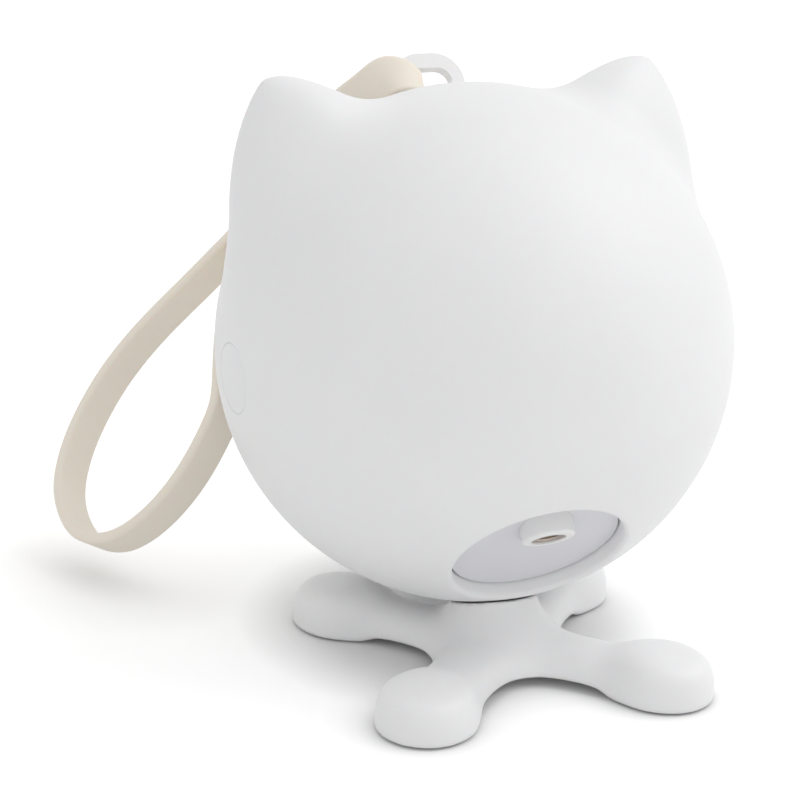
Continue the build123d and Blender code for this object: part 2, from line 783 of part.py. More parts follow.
laser_front = nozzle_reach - laser_recess
with BuildPart() as laser_module:
    with BuildSketch(nozzle_plane(laser_front)):
        Circle(laser_radius)
    extrude(amount=-laser_length)
    with BuildSketch(nozzle_plane(laser_front)):
        Circle(aperture_radius + 0.7)
    with BuildSketch(nozzle_plane(laser_front - 0.6)):
        Circle(aperture_radius)
    loft(mode=Mode.SUBTRACT)
    with BuildSketch(nozzle_plane(laser_front)):
        Circle(aperture_radius)
    extrude(amount=-2.4, mode=Mode.SUBTRACT)
laser_module.part.label = "laser_module"
export_step(laser_module.part, "parts/laser_module.step")

with BuildPart() as laser_lens:
    with BuildSketch(nozzle_plane(laser_front - 2.3)):
        Circle(aperture_radius - set_play)
    extrude(amount=0.9)
laser_lens.part.label = "laser_lens"
export_step(laser_lens.part, "parts/laser_lens.step")

with BuildPart() as ring_gear:
    with BuildSketch(window_plane(gear_back)):
        Polygon(*gear_outline(ring_teeth, ring_module), align=None)
        Circle(drum_radius + set_play, mode=Mode.SUBTRACT)
    extrude(amount=gear_width)
ring_gear.part.label = "ring_gear"
export_step(ring_gear.part, "parts/ring_gear.step")

with BuildPart() as bearing_ring:
    with BuildSketch(window_plane(flange_back)):
        Circle(flange_radius)
        for angle, point in zip(post_angles, post_points):
            with Locations(point):
                Circle(post_radius + post_boss_wall)
            with PolarLocations(post_circle - post_radius, 1, start_angle=angle):
                Rectangle(2 * post_radius, 2 * post_radius)
    extrude(amount=flange_thickness)
    with BuildSketch(window_plane(flange_back)):
        Circle(window_radius - bearing_play)
    extrude(amount=turntable_back - face_play - flange_back)
    with BuildSketch(window_plane(flange_back)):
        Circle(drum_radius + bearing_play)
        with Locations(*post_points):
            Circle(screw_radius + screw_play)
    extrude(amount=head_radius, mode=Mode.SUBTRACT)
bearing_ring.part.label = "bearing_ring"
export_step(bearing_ring.part, "parts/bearing_ring.step")

# ------------------------------------------------------------------ gear train and motor
idler_distance = ring_module * (ring_teeth + idler_pinion_teeth) / 2
motor_distance = fine_module * (idler_wheel_teeth + motor_pinion_teeth) / 2
idler_centre = (0, idler_distance)
motor_centre = (motor_distance, idler_distance)

with BuildPart() as idler_gear:
    with BuildSketch(window_plane(gear_back)) as idler_pinion:
        with Locations(idler_centre):
            Polygon(*gear_outline(idler_pinion_teeth, ring_module, 180 / idler_pinion_teeth), align=None)
    extrude(amount=gear_width)
    with BuildSketch(window_plane(fine_back)) as idler_wheel:
        with Locations(idler_centre):
            Polygon(*gear_outline(idler_wheel_teeth, fine_module), align=None)
    extrude(amount=fine_gear_width)
    with BuildSketch(window_plane(fine_front)):
        with Locations(idler_centre):
            Circle(ring_module * idler_pinion_teeth / 2 - 1.2)
    extrude(amount=face_play)
    with BuildSketch(window_plane(fine_back)):
        with Locations(idler_centre):
            Circle(idler_pin_radius + bearing_play)
    extrude(amount=head_radius, mode=Mode.SUBTRACT)
idler_gear.part.label = "idler_gear"
export_step(idler_gear.part, "parts/idler_gear.step")

with BuildPart() as motor_pinion:
    with BuildSketch(window_plane(fine_back)):
        with Locations(motor_centre):
            Polygon(*gear_outline(motor_pinion_teeth, fine_module, 180 / motor_pinion_teeth), align=None)
            Circle(motor_shaft_radius + set_play, mode=Mode.SUBTRACT)
    extrude(amount=fine_gear_width)
motor_pinion.part.label = "motor_pinion"
export_step(motor_pinion.part, "parts/motor_pinion.step")

with BuildPart() as motor_shaft:
    with BuildSketch(window_plane(fine_front)):
        with Locations(motor_centre):
            Circle(motor_shaft_radius)
    extrude(amount=-(fine_front - plate_back + motor_length / 2))
motor_shaft.part.label = "motor_shaft"
export_step(motor_shaft.part, "parts/motor_shaft.step")

with BuildPart() as spin_motor:
    with BuildSketch(window_plane(plate_back)):
        with Locations(motor_centre):
            Circle(motor_radius)
            Rectangle(2 * motor_radius, 2 * motor_flat * motor_radius, mode=Mode.INTERSECT)
    extrude(amount=-motor_length)
    with BuildSketch(window_plane(plate_back - motor_length)):
        with Locations(motor_centre):
            Circle(motor_boss_radius)
    extrude(amount=-motor_boss_length)
    with BuildSketch(window_plane(plate_back)):
        with Locations(motor_centre):
            Circle(motor_shaft_radius + bearing_play)
    extrude(amount=-(motor_length / 2 + face_play), mode=Mode.SUBTRACT)
spin_motor.part.label = "spin_motor"
export_step(spin_motor.part, "parts/spin_motor.step")

with BuildPart() as gear_plate:
    with BuildSketch(window_plane(plate_back)) as plate_outline:
        Circle(post_circle + post_radius + post_boss_wall)
        with Locations(idler_centre):
            Circle(idler_pin_radius + 4)
        with Locations(motor_centre):
            Circle(motor_radius + 1.4)
        Circle(drum_radius - 2, mode=Mode.SUBTRACT)
        with Locations(idler_centre):
            Circle(idler_pin_radius + set_play, mode=Mode.SUBTRACT)
        with Locations(motor_centre):
            Circle(motor_shaft_radius + 0.6, mode=Mode.SUBTRACT)
    extrude(amount=plate_thickness)
    with BuildSketch(window_plane(plate_front)):
        with Locations(*post_points):
            Circle(post_radius)
    extrude(amount=flange_back - plate_front)
    with BuildSketch(window_plane(plate_back)):
        with Locations(*post_points):
            Circle(screw_radius + screw_play)
    extrude(amount=head_radius, mode=Mode.SUBTRACT)
gear_plate.part.label = "gear_plate"
export_step(gear_plate.part, "parts/gear_plate.step")

with BuildPart() as idler_pin:
    with BuildSketch(window_plane(plate_back)):
        with Locations(idler_centre):
            Circle(idler_pin_radius)
    extrude(amount=gear_front - plate_back)
idler_pin.part.label = "idler_pin"
export_step(idler_pin.part, "parts/idler_pin.step")

with BuildPart() as mechanism_screws:
    with BuildSketch(window_plane(plate_back)):
        with Locations(*post_points):
            Circle(screw_head_radius)
    extrude(amount=-screw_head_height)
    with BuildSketch(window_plane(plate_back)):
        with Locations(*post_points):
            Circle(screw_radius)
    extrude(amount=collar_end - plate_back + mechanism_screw_bite - screw_end_play)
    with BuildSketch(window_plane(plate_back - screw_head_height)):
        with Locations(*post_points):
            Rectangle(screw_head_radius, slot_width)
            Rectangle(slot_width, screw_head_radius)
    extrude(amount=screw_head_height / 2, mode=Mode.SUBTRACT)
mechanism_screws.part.label = "mechanism_screws"
export_step(mechanism_screws.part, "parts/mechanism_screws.step")

# ------------------------------------------------------------------ strap
# The band is one closed loop.  It passes through the bail, goes round its left leg and hangs on the
# left: one arm lies in front of the leg and hugs the head, the other stands off behind it.
# Each station is a place from the head's centre, the way the width points, and the share of the
# width that is left where the soft band is squeezed.
strap_route = [
    ((-2.5, 29.6, 43.9), (-0.00, -0.59, -0.81), 0.57),
    ((-2.9, 28.4, 44.9), (-0.03, -0.60, -0.80), 0.59),
    ((-3.8, 27.5, 45.7), (-0.12, -0.65, -0.75), 0.63),
    ((-5.0, 27.0, 46.4), (-0.25, -0.62, -0.74), 0.73),
    ((-6.5, 27.0, 46.9), (-0.30, -0.54, -0.79), 0.86),
    ((-8.1, 27.4, 47.1), (-0.10, -0.50, -0.86), 0.97),
    ((-9.5, 27.9, 46.8), (0.19, -0.50, -0.84), 1.00),
    ((-10.6, 28.5, 45.9), (0.42, -0.52, -0.74), 1.00),
    ((-11.6, 29.5, 44.5), (0.51, -0.49, -0.70), 1.00),
    ((-13.2, 31.7, 42.3), (0.52, -0.32, -0.79), 1.00),
    ((-17.0, 36.2, 37.5), (0.67, -0.27, -0.69), 1.00),
    ((-21.6, 39.6, 31.3), (0.78, -0.07, -0.62), 1.00),
    ((-26.4, 41.4, 24.5), (0.86, 0.15, -0.49), 1.00),
    ((-30.2, 42.3, 17.1), (0.88, 0.30, -0.38), 1.00),
    ((-33.4, 41.9, 9.2), (0.84, 0.39, -0.37), 1.00),
    ((-36.0, 40.1, 1.4), (0.82, 0.43, -0.37), 1.00),
    ((-37.9, 37.6, -6.5), (0.83, 0.46, -0.32), 1.00),
    ((-39.1, 34.7, -12.8), (0.80, 0.40, -0.45), 1.00),
    ((-40.3, 30.7, -17.1), (0.78, 0.28, -0.55), 1.00),
    ((-41.4, 28.6, -19.9), (0.79, 0.30, -0.53), 1.00),
    ((-43.2, 27.5, -23.3), (0.81, 0.32, -0.50), 1.00),
    ((-47.2, 26.5, -30.3), (0.80, 0.32, -0.51), 1.00),
    ((-51.9, 26.9, -37.3), (0.80, 0.32, -0.51), 1.00),
    ((-56.9, 29.4, -43.7), (0.80, 0.32, -0.51), 1.00),
    ((-61.2, 33.2, -48.1), (0.80, 0.32, -0.51), 1.00),
    ((-63.9, 37.2, -49.9), (0.80, 0.32, -0.51), 1.00),
    ((-66.2, 41.8, -50.7), (0.80, 0.32, -0.51), 1.00),
    ((-67.6, 46.5, -49.9), (0.80, 0.32, -0.51), 1.00),
    ((-68.1, 52.7, -46.8), (0.80, 0.32, -0.51), 1.00),
    ((-67.2, 56.8, -42.9), (0.80, 0.32, -0.51), 1.00),
    ((-64.6, 60.0, -36.8), (0.80, 0.32, -0.51), 1.00),
    ((-60.6, 61.6, -29.5), (0.80, 0.32, -0.51), 1.00),
    ((-56.1, 61.7, -22.3), (0.80, 0.32, -0.51), 1.00),
    ((-51.3, 60.4, -15.5), (0.80, 0.32, -0.51), 1.00),
    ((-46.2, 58.2, -9.0), (0.79, 0.32, -0.52), 1.00),
    ((-41.2, 55.4, -2.9), (0.82, 0.30, -0.48), 1.00),
    ((-36.4, 52.6, 3.3), (0.77, 0.33, -0.54), 1.00),
    ((-31.6, 51.8, 8.2), (0.68, 0.32, -0.65), 1.00),
    ((-28.2, 51.1, 12.3), (0.84, 0.26, -0.48), 1.00),
    ((-24.5, 49.0, 18.8), (0.88, 0.12, -0.46), 1.00),
    ((-20.5, 46.3, 25.8), (0.85, -0.09, -0.51), 1.00),
    ((-17.2, 43.4, 31.8), (0.73, -0.30, -0.61), 1.00),
    ((-14.4, 40.2, 36.2), (0.52, -0.46, -0.72), 1.00),
    ((-12.1, 36.6, 40.1), (0.32, -0.57, -0.75), 0.99),
    ((-10.9, 35.1, 41.6), (0.20, -0.54, -0.82), 0.97),
    ((-9.7, 34.2, 42.4), (0.03, -0.48, -0.87), 0.95),
    ((-8.3, 33.6, 42.6), (-0.16, -0.49, -0.85), 0.91),
    ((-6.7, 33.1, 42.4), (-0.23, -0.51, -0.83), 0.82),
    ((-5.1, 32.6, 42.3), (-0.22, -0.49, -0.84), 0.72),
    ((-3.7, 31.9, 42.4), (-0.08, -0.50, -0.86), 0.63),
    ((-2.8, 30.8, 43.1), (0.01, -0.57, -0.82), 0.59),
]


def strap_section(number):
    """Plane across the band at a station of its route, with x along the band's width."""
    place, width, share = strap_route[number]
    before = Vector(*strap_route[number - 1][0])
    after = Vector(*strap_route[(number + 1) % len(strap_route)][0])
    forward = (after - before).normalized()
    across = Vector(*width)
    across = (across - forward * across.dot(forward)).normalized()
    return Plane(origin=head_centre + Vector(*place), x_dir=across, z_dir=forward)


strap_slices = []
for number, station in enumerate(strap_route):
    with BuildSketch(strap_section(number)) as strap_slice:
        Rectangle(strap_width * station[2], strap_thickness / station[2] ** strap_bulge)
    strap_slices.append(strap_slice.sketch)

strap_half = len(strap_slices) // 2
with BuildPart() as strap:
    loft(strap_slices[: strap_half + 1], ruled=True)
    loft(strap_slices[strap_half:] + strap_slices[:1], ruled=True)
strap.part.label = "strap"
export_step(strap.part, "parts/strap.step")
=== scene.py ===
# %% [markdown]
# # An automatic laser toy for cats
# A white ball with two ears sits in the cup of a four-legged stand. A tilted laser nozzle turns in
# a slanted window, and a soft strap hangs from the back. The rigid pieces arrive as a finished
# CAD model, so this lesson gives them their finishes, grows the soft strap and the satin skins as
# smooth surfaces, and lights the toy like a catalogue picture.

import bpy
import numpy as np
from mathutils import Matrix, Vector


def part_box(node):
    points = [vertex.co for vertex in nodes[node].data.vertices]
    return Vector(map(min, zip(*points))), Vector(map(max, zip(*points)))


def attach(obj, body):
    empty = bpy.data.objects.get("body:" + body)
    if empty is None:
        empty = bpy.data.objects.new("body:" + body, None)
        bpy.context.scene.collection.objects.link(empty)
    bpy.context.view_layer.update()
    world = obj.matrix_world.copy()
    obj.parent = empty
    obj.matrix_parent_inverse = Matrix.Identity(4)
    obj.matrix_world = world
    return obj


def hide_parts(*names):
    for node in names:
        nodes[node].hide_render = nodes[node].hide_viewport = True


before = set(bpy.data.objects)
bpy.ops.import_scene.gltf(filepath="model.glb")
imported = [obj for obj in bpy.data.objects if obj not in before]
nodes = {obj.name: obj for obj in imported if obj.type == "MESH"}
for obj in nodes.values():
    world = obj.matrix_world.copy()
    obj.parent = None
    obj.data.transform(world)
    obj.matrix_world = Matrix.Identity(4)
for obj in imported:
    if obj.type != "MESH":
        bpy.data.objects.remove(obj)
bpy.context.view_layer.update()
MM = 0.001

# %% [markdown]
# ## The camera
# The toy is seen from the left and a little above, through a long lens, so that its upright
# lines stay almost parallel. The camera is set by the place it aims at, its heading, height and
# roll, and its distance. Its focal length is given in picture elements, beside the picture's width.

# %% Camera
aim = np.array([-19.35, 7.07, 52.24]) * MM
heading, height, roll = np.radians([-20.78, 19.11, 2.0])
distance = 450 * MM
focal_length, picture_width = 2404.84, 800
sensor_width, furthest_seen = 36.0, 20.0


def camera_axes(heading, height, roll):
    """Right, up and backward unit vectors: the level right vector and its up, turned by the roll."""
    back = np.array(
        [np.sin(heading) * np.cos(height), -np.cos(heading) * np.cos(height), np.sin(height)]
    )
    level = np.array([np.cos(heading), np.sin(heading), 0.0])
    rise = np.cross(back, level)
    right = np.cos(roll) * level + np.sin(roll) * rise
    up = -np.sin(roll) * level + np.cos(roll) * rise
    return right, up, back


right, up, back = camera_axes(heading, height, roll)
camera_data = bpy.data.cameras.new("studio_camera")
camera_data.sensor_width = sensor_width
camera_data.lens = sensor_width * focal_length / picture_width
camera_data.clip_end = furthest_seen
camera = bpy.data.objects.new("studio_camera", camera_data)
placed = Matrix.Identity(4)
for column, axis in enumerate((right, up, back, aim + back * distance)):
    for row in range(3):
        placed[row][column] = axis[row]
camera.matrix_world = placed
bpy.context.scene.collection.objects.link(camera)
bpy.context.scene.camera = camera
print("camera at", [round(v, 4) for v in camera.location], "lens", round(camera_data.lens, 1))

# %% [markdown]
# ## Light
# White plastic shows its form only through gentle differences of light. The world is a plain
# soft white from all round, and one wide lamp up on the right makes that side a little
# brighter. Where the camera looks past the toy it sees pure white, and so do gloss and glass.

# %% World
scene = bpy.context.scene
scene.view_settings.view_transform = "Standard"
room_seen, room_light = 1.0, 0.76


def remapped(tree, value, low, high, new_low, new_high):
    """Value moved from the span low..high to the span new_low..new_high, and held at its ends."""
    node = tree.nodes.new("ShaderNodeMapRange")
    node.inputs["From Min"].default_value = low
    node.inputs["From Max"].default_value = high
    node.inputs["To Min"].default_value = new_low
    node.inputs["To Max"].default_value = new_high
    tree.links.new(value, node.inputs["Value"])
    return node.outputs["Result"]


def white_to_the_eye(tree, strength_seen, strength_lighting):
    """Strength that is one value for camera, mirror and glass rays, and another for the rest."""
    path = tree.nodes.new("ShaderNodeLightPath")
    seen = path.outputs["Is Camera Ray"]
    for kind in ("Is Glossy Ray", "Is Transmission Ray"):
        widest = tree.nodes.new("ShaderNodeMath")
        widest.operation = "MAXIMUM"
        tree.links.new(seen, widest.inputs[0])
        tree.links.new(path.outputs[kind], widest.inputs[1])
        seen = widest.outputs[0]
    return remapped(tree, seen, 0.0, 1.0, strength_lighting, strength_seen)


world = bpy.data.worlds.new("soft_white_room")
scene.world = world
world.use_nodes = True
background = world.node_tree.nodes["Background"]
background.inputs["Color"].default_value = (1.0, 1.0, 1.0, 1.0)
room_strength = white_to_the_eye(world.node_tree, room_seen, room_light)
world.node_tree.links.new(room_strength, background.inputs["Strength"])
print("room light", room_light, "seen as", room_seen)

# %% Lamp
lit_place = np.array([0.0, 19.0, 58.0]) * MM
key_direction = 0.64 * right + 0.74 * up + 0.18 * back
key_distance, key_size, key_power = 1.1, 0.8, 3.7


def wide_lamp(name, toward, far, size, power):
    """Square lamp that stands off along a direction from the toy and faces its middle."""
    lamp_data = bpy.data.lights.new(name, "AREA")
    lamp_data.shape = "SQUARE"
    lamp_data.size = size
    lamp_data.energy = power
    lamp = bpy.data.objects.new(name, lamp_data)
    direction = Vector(toward).normalized()
    lamp.location = Vector(lit_place) + direction * far
    lamp.rotation_euler = direction.to_track_quat("Z", "Y").to_euler()
    scene.collection.objects.link(lamp)


wide_lamp("key_lamp", key_direction, key_distance, key_size, key_power)

# %% [markdown]
# ## The floor
# The floor is a wide pale sheet. Close under the toy it is a little darker, which makes the soft
# shadows round the feet. Further out a little light of its own, seen by the camera alone, lifts it
# to white.

# %% Floor
floor_reach, shadow_reach, shadow_rays = 3.0, 24 * MM, 24
pale_in_shadow, pale_in_open, darkest_share = 0.72, 0.94, 0.15
floor_glow, glow_from_share = 0.30, 0.45

floor_mesh = bpy.data.meshes.new("floor")
corners = [(-1, -1, 0), (1, -1, 0), (1, 1, 0), (-1, 1, 0)]
floor_mesh.from_pydata([(x * floor_reach, y * floor_reach, z) for x, y, z in corners], [], [(0, 1, 2, 3)])
floor = bpy.data.objects.new("floor", floor_mesh)
scene.collection.objects.link(floor)

floor_paint = bpy.data.materials.new("pale_floor")
floor_paint.use_nodes = True
paint_tree = floor_paint.node_tree
paint = paint_tree.nodes["Principled BSDF"]
paint.inputs["Roughness"].default_value = 0.9
paint.inputs["Specular IOR Level"].default_value = 0.0
near = paint_tree.nodes.new("ShaderNodeAmbientOcclusion")
near.inputs["Distance"].default_value = shadow_reach
near.samples = shadow_rays
open_share = near.outputs["AO"]
paleness = remapped(paint_tree, open_share, darkest_share, 1.0, pale_in_shadow, pale_in_open)
lifted = remapped(paint_tree, open_share, glow_from_share, 1.0, 0.0, 1.0)
glow = white_to_the_eye(paint_tree, floor_glow, 0.0)
paint_tree.links.new(paleness, paint.inputs["Base Color"])
paint_tree.links.new(lifted, paint.inputs["Emission Color"])
paint_tree.links.new(glow, paint.inputs["Emission Strength"])
floor_mesh.materials.append(floor_paint)
print("floor", floor_reach * 2, "m wide")

# %% [markdown]
# ## Finishes
# Every finish is a Principled shader with two quiet patterns in Object coordinates: a fine
# grain that bends the normal, as the sparked surface of a mould does, and slow drifts of
# colour and gloss that keep a large plain surface alive.

# %% A helper for finishes
drifts_per_metre, drift_detail, grain_detail = 38.0, 3.0, 2.0
noise_low, noise_high = 0.3, 0.7


def noise(tree, place, scale, detail):
    """Noise from 0 to 1 whose lumps are 1 / scale metres wide."""
    node = tree.nodes.new("ShaderNodeTexNoise")
    node.inputs["Scale"].default_value = scale
    node.inputs["Detail"].default_value = detail
    tree.links.new(place, node.inputs["Vector"])
    return node.outputs["Fac"]


def finish(name, colour, roughness, grain, depth, drift=0.012, gloss_drift=0.05, **sockets):
    """Material whose grain size and depth are in millimetres; the drifts are shares of its values."""
    material = bpy.data.materials.new(name)
    material.use_nodes = True
    tree = material.node_tree
    shader = tree.nodes["Principled BSDF"]
    for socket, value in sockets.items():
        shader.inputs[socket.replace("_", " ")].default_value = value
    place = tree.nodes.new("ShaderNodeTexCoord").outputs["Object"]

    slow = noise(tree, place, drifts_per_metre, drift_detail)
    ramp = tree.nodes.new("ShaderNodeValToRGB")
    for end, position, change in zip(ramp.color_ramp.elements, (noise_low, noise_high), (-drift, drift)):
        end.position = position
        end.color = (*[min(1.0, part * (1 + change)) for part in colour], 1.0)
    tree.links.new(slow, ramp.inputs["Fac"])
    tree.links.new(ramp.outputs["Color"], shader.inputs["Base Color"])

    glossiest, dullest = roughness * (1 - gloss_drift), roughness * (1 + gloss_drift)
    gloss = remapped(tree, slow, noise_low, noise_high, glossiest, dullest)
    tree.links.new(gloss, shader.inputs["Roughness"])

    bump = tree.nodes.new("ShaderNodeBump")
    bump.inputs["Distance"].default_value = depth * MM
    bump.inputs["Strength"].default_value = 1.0
    tree.links.new(noise(tree, place, 1.0 / (grain * MM), grain_detail), bump.inputs["Height"])
    tree.links.new(bump.outputs["Normal"], shader.inputs["Normal"])
    return material


print("colour drifts are", round(1000 / drifts_per_metre), "mm wide")

# %% [markdown]
# ## White mouldings
# Head, stand, button and nozzle are the same satin ABS. It scatters a little light inside, so
# its edges look soft; a small subsurface share over a millimetre does that.

# %% White plastics
abs_white = (0.86, 0.862, 0.866)
abs_scatter = {"Subsurface_Weight": 0.08, "Subsurface_Scale": 1.0 * MM}

head_white = finish(
    "satin_white_head", abs_white, roughness=0.50, grain=0.32, depth=0.0035, **abs_scatter
)
stand_white = finish(
    "satin_white_stand", abs_white, roughness=0.46, grain=0.32, depth=0.0035, **abs_scatter
)
button_white = finish(
    "satin_white_button", (0.83, 0.833, 0.84), roughness=0.42, grain=0.25, depth=0.003, **abs_scatter
)
nozzle_white = finish(
    "satin_white_nozzle", (0.88, 0.88, 0.88), roughness=0.40, grain=0.2, depth=0.003, **abs_scatter
)
print("white plastics", head_white.name, stand_white.name, button_white.name, nozzle_white.name)

# %% [markdown]
# ## The other plastics
# The turntable is a cool grey plastic and the gears are natural acetal, a milky white that lets
# a little light in. The strap is matt silicone, which is a little see-through at its edges.

# %% Plastics and rubber
turntable_grey = finish("turntable_grey", (0.74, 0.74, 0.77), roughness=0.38, grain=0.25, depth=0.002)
black_plastic = finish(
    "black_plastic", (0.035, 0.035, 0.038), roughness=0.55, grain=0.3, depth=0.006
)
acetal = finish(
    "natural_acetal",
    (0.80, 0.79, 0.73),
    roughness=0.40,
    grain=0.3,
    depth=0.003,
    Subsurface_Weight=0.1,
    Subsurface_Scale=1.0 * MM,
)
board_green = finish(
    "solder_mask_green", (0.02, 0.16, 0.07), roughness=0.35, grain=0.5, depth=0.004, drift=0.05
)
cell_sleeve = finish(
    "shrink_sleeve_blue", (0.05, 0.13, 0.33), roughness=0.38, grain=1.5, depth=0.01, drift=0.03
)
silicone = finish(
    "off_white_silicone",
    (0.87, 0.81, 0.71),
    roughness=0.62,
    grain=0.22,
    depth=0.004,
    drift=0.01,
    Subsurface_Weight=0.15,
    Subsurface_Scale=1.5 * MM,
)
pad_rubber = finish("pad_rubber", (0.42, 0.42, 0.43), roughness=0.8, grain=0.4, depth=0.02, drift=0.03)
print("plastics and rubber", turntable_grey.name, acetal.name, silicone.name, pad_rubber.name)

# %% [markdown]
# ## Metal and glass
# Screws, pins and the keeper are bare steel, the magnet and the cell's contacts are plated, and the
# laser module is turned brass. A metal takes its colour from what it mirrors, so a wider drift of
# gloss keeps its flat faces from looking printed.

# %% Metals and the lens
metal = {"Metallic": 1.0, "gloss_drift": 0.2}
steel = finish(
    "bare_steel", (0.56, 0.56, 0.57), roughness=0.32, grain=0.15, depth=0.004, drift=0.03, **metal
)
plated = finish(
    "nickel_plating", (0.66, 0.65, 0.62), roughness=0.16, grain=0.6, depth=0.002, drift=0.02, **metal
)
brass = finish(
    "turned_brass", (0.45, 0.39, 0.345), roughness=0.42, grain=0.12, depth=0.004, drift=0.04, **metal
)
lens_red = finish(
    "laser_lens",
    (0.05, 0.018, 0.016),
    roughness=0.55,
    grain=1.0,
    depth=0.0005,
    drift=0.02,
    gloss_drift=0.1,
    Specular_IOR_Level=0.05,
)
print("materials", len(bpy.data.materials))

# %% [markdown]
# ## Painted shade in the laser's bore
# The bore in front of the lens and the inner half of its chamfer get a dark painted shade, which
# stands in for the shadow inside the hole. They are told from the rest of the brass by how near
# they lie to the middle of the lens.

# %% Painted bore shade
# The dark colour near the middle of the lens is painted shade for the inside of the bore.
bore_shade_reach, bore_shade_edge = 2.45, 0.10
painted_bore_shade = (0.16, 0.125, 0.10, 1.0)


def paint_shade_near(material, middle, reach, edge, colour):
    """Finish with painted shade: a dark colour up to a reach from a point, its own colour past that and an
    edge.
    """
    tree = material.node_tree
    place = next(node for node in tree.nodes if node.type == "TEX_COORD").outputs["Object"]
    base = tree.nodes["Principled BSDF"].inputs["Base Color"]
    own_colour = base.links[0].from_socket
    away = tree.nodes.new("ShaderNodeVectorMath")
    away.operation = "DISTANCE"
    away.inputs[1].default_value = middle
    tree.links.new(place, away.inputs[0])
    blend = tree.nodes.new("ShaderNodeMixRGB")
    blend.inputs["Color1"].default_value = colour
    share = remapped(tree, away.outputs["Value"], reach * MM, (reach + edge) * MM, 0.0, 1.0)
    tree.links.new(share, blend.inputs["Fac"])
    tree.links.new(own_colour, blend.inputs["Color2"])
    tree.links.new(blend.outputs["Color"], base)


lens_middle = (np.array(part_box("laser_lens")[0]) + np.array(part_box("laser_lens")[1])) / 2
# Paint the bore's shade into the brass finish.
paint_shade_near(brass, lens_middle, bore_shade_reach, bore_shade_edge, painted_bore_shade)
print("lens middle", np.round(lens_middle / MM, 2), "mm")

# %% [markdown]
# ## The stand as one soft form
# The stand is one moulding in which four legs, a hub and a leaning neck run into each other. Such
# a form is easiest to say as a field: a number at each point of space that is below nought
# inside the plastic. Fields of plain bodies are joined by a soft minimum, which rounds the inner
# corners as a mould maker would, and a grid of cells is then wrapped where the number passes
# nought.

# %% Joining fields


def soft_min(a, b, width):
    """Smaller of two fields, lowered by width/4 * (1 - |a-b|/width)^2 where they are nearly equal."""
    share = np.maximum(1 - np.abs(a - b) / width, 0)
    return np.minimum(a, b) - share**2 * width / 4


def soft_max(a, b, width):
    """Larger of two fields with a rounded corner, the mirror image of the soft minimum."""
    return -soft_min(-a, -b, width)


def squircle(a, b, power):
    """Distance from the middle in which a circle is square with round corners: (a^n + b^n)^(1/n)."""
    return (a**power + b**power) ** (1 / power)


print("two equal fields, joined over 4 mm, drop by", soft_min(0.0, 0.0, 4.0))

# %% One leg
leg_reach, leg_half_width, leg_top = 34.3, 7.2, 7.1
foot_radius, foot_top = 9.15, 8.7
leg_squareness, foot_squareness = 2.6, 3.8
leg_end_round, foot_blend = 6.0, 5.0


def leg_field(p, angle):
    """One leg and its foot, in x and y turned back by the leg's angle.

    The leg is the squircle of |y| / half width and z / top, less 1, up to its reach. The foot is
    the squircle of the distance from its own middle / radius and z / top, less 1.
    """
    c, s = np.cos(np.radians(angle)), np.sin(np.radians(angle))
    along = p[..., 0] * c + p[..., 1] * s
    across = p[..., 1] * c - p[..., 0] * s
    up = np.maximum(p[..., 2], 0)
    bar = squircle(np.abs(across) / leg_half_width, up / leg_top, leg_squareness) - 1
    past_ends = np.abs(along - leg_reach / 2) - leg_reach / 2
    bar = soft_max(bar * leg_top, past_ends, leg_end_round)
    from_foot = np.hypot(along - leg_reach, across)
    foot = squircle(from_foot / foot_radius, up / foot_top, foot_squareness) - 1
    return soft_min(bar, foot * foot_top, foot_blend)


print("field under the foot's middle", round(float(leg_field(np.array([leg_reach, 0, 3.0]), 0.0)), 3))

# %% The whole stand
head_middle = np.array([0.0, 19.0, 58.36])
head_radius, cup_gap, cup_rim_round = 50.0, 0.3, 0.5
leg_angles, leg_blend = (45.0, 135.0, 225.0, 315.0), 5.0
hub_radius, hub_top, hub_blend = 14.0, 7.6, 4.0
neck_foot, neck_radius, neck_length, neck_blend = np.array([0.0, 0.0, 3.0]), 8.0, 12.0, 5.5
arch_height, arch_middle, arch_half_flat, arch_slope, arch_round = 1.7, 17.0, 4.0, 0.35, 1.0
floor_gap, underside_round = 0.3, 0.8


def stand_field(p):
    """Legs, hub mound and leaning neck, joined softly, then cut by the ball, the arch and the floor.

    The mound is half an ellipsoid, the neck a round rod toward the head's middle, and the
    arch a ring-shaped tunnel under the legs whose flanks rise by its slope.
    """
    body = leg_field(p, leg_angles[0])
    for angle in leg_angles[1:]:
        body = soft_min(body, leg_field(p, angle), leg_blend)
    from_axis = np.hypot(p[..., 0], p[..., 1])
    mound = np.sqrt((from_axis / hub_radius) ** 2 + (p[..., 2] / hub_top) ** 2) - 1
    body = soft_min(body, mound * hub_top, hub_blend)
    lean = (head_middle - neck_foot) / np.linalg.norm(head_middle - neck_foot)
    along = (p - neck_foot) @ lean
    off = np.linalg.norm((p - neck_foot) - along[..., None] * lean, axis=-1)
    neck = np.maximum(off - neck_radius, np.maximum(-along, along - neck_length))
    body = soft_min(body, neck, neck_blend)
    ball = head_radius + cup_gap - np.linalg.norm(p - head_middle, axis=-1)
    body = soft_max(body, ball, cup_rim_round)
    past_flat = np.maximum(np.abs(from_axis - arch_middle) - arch_half_flat, 0)
    arch = arch_height - np.hypot(past_flat * arch_slope, p[..., 2])
    body = soft_max(body, arch, arch_round)
    return soft_max(body, floor_gap - p[..., 2], underside_round)


print("field in the hub", round(float(stand_field(np.array([0.0, 0.0, 4.0]))), 3))

# %% [markdown]
# ## Wrapping a field in a skin
# Where the field changes sign along an edge of the grid, four cells meet, and their middle points
# make one quad of the skin. That gives an even net of quads with no thin triangles. The points are
# then slid down the field's slope until the number there is nought, which takes away the
# steps of the grid.

# %% A skin round a field


